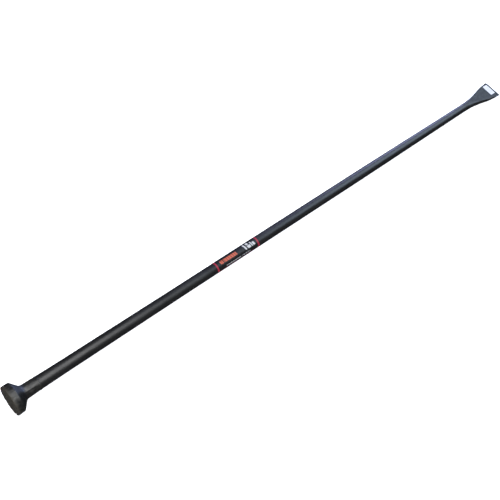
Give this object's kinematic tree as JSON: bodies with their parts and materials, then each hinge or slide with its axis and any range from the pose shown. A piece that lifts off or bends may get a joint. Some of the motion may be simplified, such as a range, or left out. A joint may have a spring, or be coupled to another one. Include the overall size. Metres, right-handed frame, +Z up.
{
  "type": "digging and tamping bar",
  "caption": "Long tapered round steel bar with a mushroom tamper head at the thick end and a flared chisel blade at the thin end, for breaking and packing ground.",
  "frame": {"origin": "on the ground, below the middle of the bar's length", "axes": "+X along the bar from the tamper head to the chisel blade, level; +Z up, out of the blade's upper flat; +Y to the left seen from the head. The bar lies on the rim of its head and on the thin end of the bar, so its axis slopes down towards the blade by about 1 degree"},
  "size_m": [1.5244, 0.0722, 0.0722],
  "materials": {
    "shaft_paint": "satin black paint on a rolled bar",
    "forged_paint": "satin black paint on forged steel with scale and hammer marks",
    "label_film": "printed black film with a red border",
    "sticker_paper": "white coated paper"
  },
  "bodies": {
    "root": {"shaft": "shaft_paint", "tamper_head": "forged_paint", "neck_weld": "forged_paint", "chisel_blade": "forged_paint", "blade_weld": "shaft_paint", "wrap_label": "label_film", "blade_sticker": "sticker_paper"}
  },
  "joints": []
}
